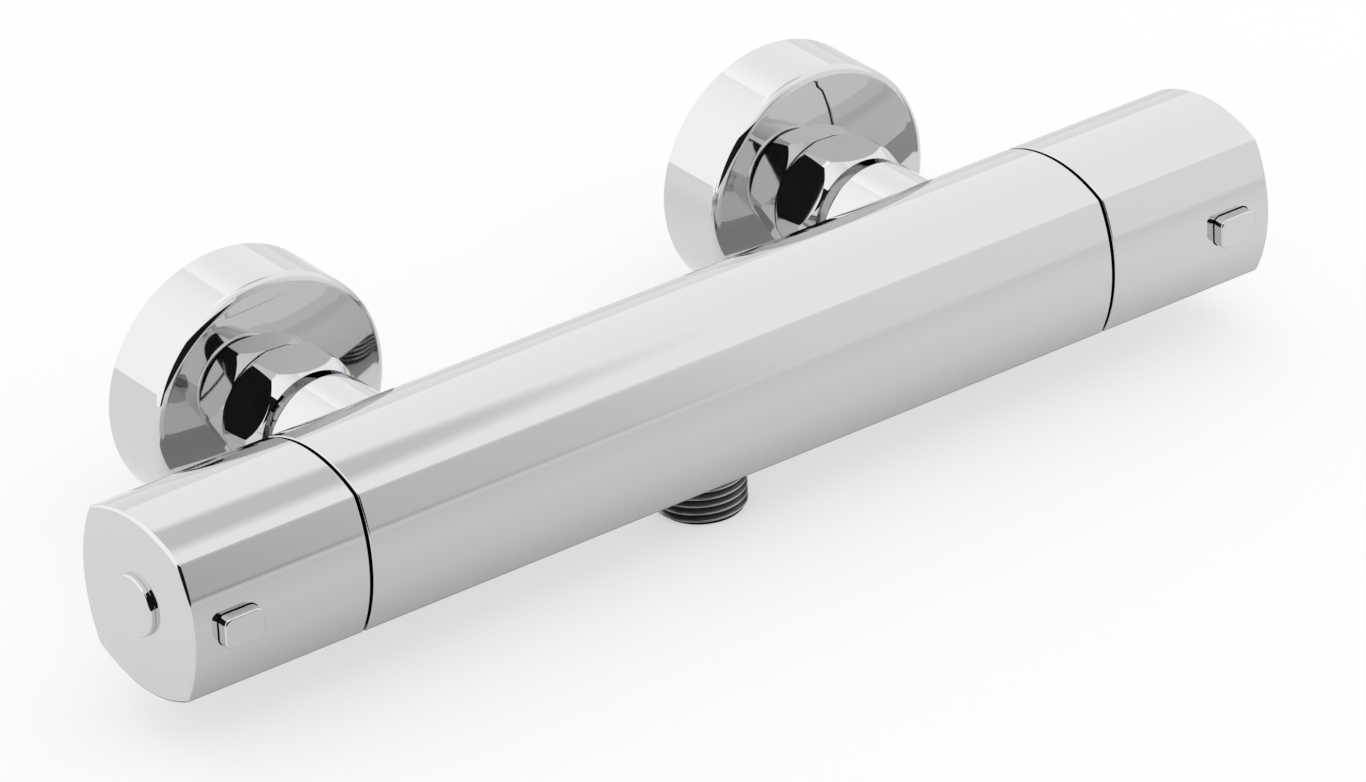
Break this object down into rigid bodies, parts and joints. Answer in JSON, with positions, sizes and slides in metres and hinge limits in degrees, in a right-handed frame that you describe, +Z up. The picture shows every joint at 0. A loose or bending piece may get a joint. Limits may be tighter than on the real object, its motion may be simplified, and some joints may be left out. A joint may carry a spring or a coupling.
{
  "type": "thermostatic shower valve",
  "caption": "Exposed thermostatic bar shower valve with a turning handle and press button at each end, wall unions with round flanges behind, and a threaded hose outlet below.",
  "frame": {"origin": "on the wall's face, midway between the axes of the two supply pipes", "axes": "+X along the bar towards the temperature handle, +Y into the wall, +Z up"},
  "size_m": [0.2936, 0.1093, 0.0604],
  "materials": {
    "polished_chrome": "mirror-polished chrome plate",
    "button_chrome": "chrome-plated plastic, polished",
    "outlet_metal": "chrome-plated thread, duller in its grooves",
    "brass": "machined brass",
    "cartridge_plastic": "moulded technical plastic",
    "stop_ring_plastic": "moulded white plastic",
    "check_valve_plastic": "moulded white plastic",
    "poppet_plastic": "moulded blue plastic",
    "seal_rubber": "black sealing rubber",
    "filter_mesh": "fine stainless screen",
    "copper": "copper, drawn",
    "spring_steel": "stainless spring wire",
    "screw_steel": "stainless steel",
    "ceramic": "lapped ceramic"
  },
  "bodies": {
    "valve_frame": {"valve_body": "polished_chrome", "inlet_nipple_left": "polished_chrome", "inlet_nipple_right": "polished_chrome", "check_valve_housing_left": "check_valve_plastic", "check_valve_housing_right": "check_valve_plastic", "check_valve_spring_left": "spring_steel", "check_valve_spring_right": "spring_steel", "strainer_washer_left": "seal_rubber", "strainer_washer_right": "seal_rubber", "union_nut_left": "polished_chrome", "union_nut_right": "polished_chrome", "eccentric_union_left": "brass", "eccentric_union_right": "brass", "wall_flange_left": "polished_chrome", "wall_flange_right": "polished_chrome", "hose_outlet_nipple": "outlet_metal", "cartridge_seal": "seal_rubber", "cartridge_body": "cartridge_plastic", "cartridge_o_rings": "seal_rubber", "hot_filter": "filter_mesh", "cold_filter": "filter_mesh", "shuttle_spring": "spring_steel", "cartridge_nut": "brass", "temperature_stop_ring": "stop_ring_plastic", "headwork_seal": "seal_rubber", "ceramic_disc_fixed": "ceramic", "headwork_body": "brass", "headwork_o_ring": "seal_rubber", "flow_stop_ring": "stop_ring_plastic"},
    "temperature_handle": {"temperature_handle": "polished_chrome", "temperature_handle_screw": "screw_steel", "temperature_handle_cap": "polished_chrome", "thermostat_spindle": "brass", "thermostat_spindle_o_ring": "seal_rubber", "safety_button_spring": "spring_steel"},
    "flow_handle": {"flow_handle": "polished_chrome", "flow_handle_screw": "screw_steel", "flow_handle_cap": "polished_chrome", "headwork_spindle": "brass", "headwork_spindle_o_ring": "seal_rubber", "ceramic_disc_moving": "ceramic", "eco_button_spring": "spring_steel"},
    "safety_button": {"safety_button": "button_chrome"},
    "eco_button": {"eco_button": "button_chrome"},
    "shuttle": {"regulating_nut": "brass", "overload_cup": "copper", "overload_spring": "spring_steel", "wax_element": "copper", "hot_cold_shuttle": "cartridge_plastic"},
    "check_poppet_left": {"check_valve_poppet_left": "poppet_plastic"},
    "check_poppet_right": {"check_valve_poppet_right": "poppet_plastic"}
  },
  "joints": [
    {"name": "temperature_handle_turn", "type": "hinge", "parent": "valve_frame", "child": "temperature_handle", "pos_m": [0, -0.071, 0.0044], "axis": [1, 0, 0], "range_deg": [-170, 45]},
    {"name": "flow_handle_turn", "type": "hinge", "parent": "valve_frame", "child": "flow_handle", "pos_m": [0, -0.071, 0.0044], "axis": [-1, 0, 0], "range_deg": [0, 90]},
    {"name": "safety_button_press", "type": "slide", "parent": "temperature_handle", "child": "safety_button", "axis": [0, 1, 0], "range_m": [0, 0.0022], "stiffness_N_per_m": 400, "springref_m": -0.002, "deforming": ["safety_button_spring"]},
    {"name": "eco_button_press", "type": "slide", "parent": "flow_handle", "child": "eco_button", "axis": [0, 1, 0], "range_m": [0, 0.0022], "stiffness_N_per_m": 400, "springref_m": -0.002, "deforming": ["eco_button_spring"]},
    {"name": "shuttle_slide", "type": "slide", "parent": "valve_frame", "child": "shuttle", "axis": [1, 0, 0], "range_m": [-0.0012, 0.0004], "deforming": ["shuttle_spring"]},
    {"name": "check_valve_open_left", "type": "slide", "parent": "valve_frame", "child": "check_poppet_left", "axis": [0, -1, 0], "range_m": [0, 0.0035], "stiffness_N_per_m": 40, "springref_m": -0.003, "deforming": ["check_valve_spring_left"]},
    {"name": "check_valve_open_right", "type": "slide", "parent": "valve_frame", "child": "check_poppet_right", "axis": [0, -1, 0], "range_m": [0, 0.0035], "stiffness_N_per_m": 40, "springref_m": -0.003, "deforming": ["check_valve_spring_right"]}
  ],
  "couplings": [
    {"joint": "shuttle_slide", "follows": "temperature_handle_turn", "m_per_rad": 0.0004}
  ]
}
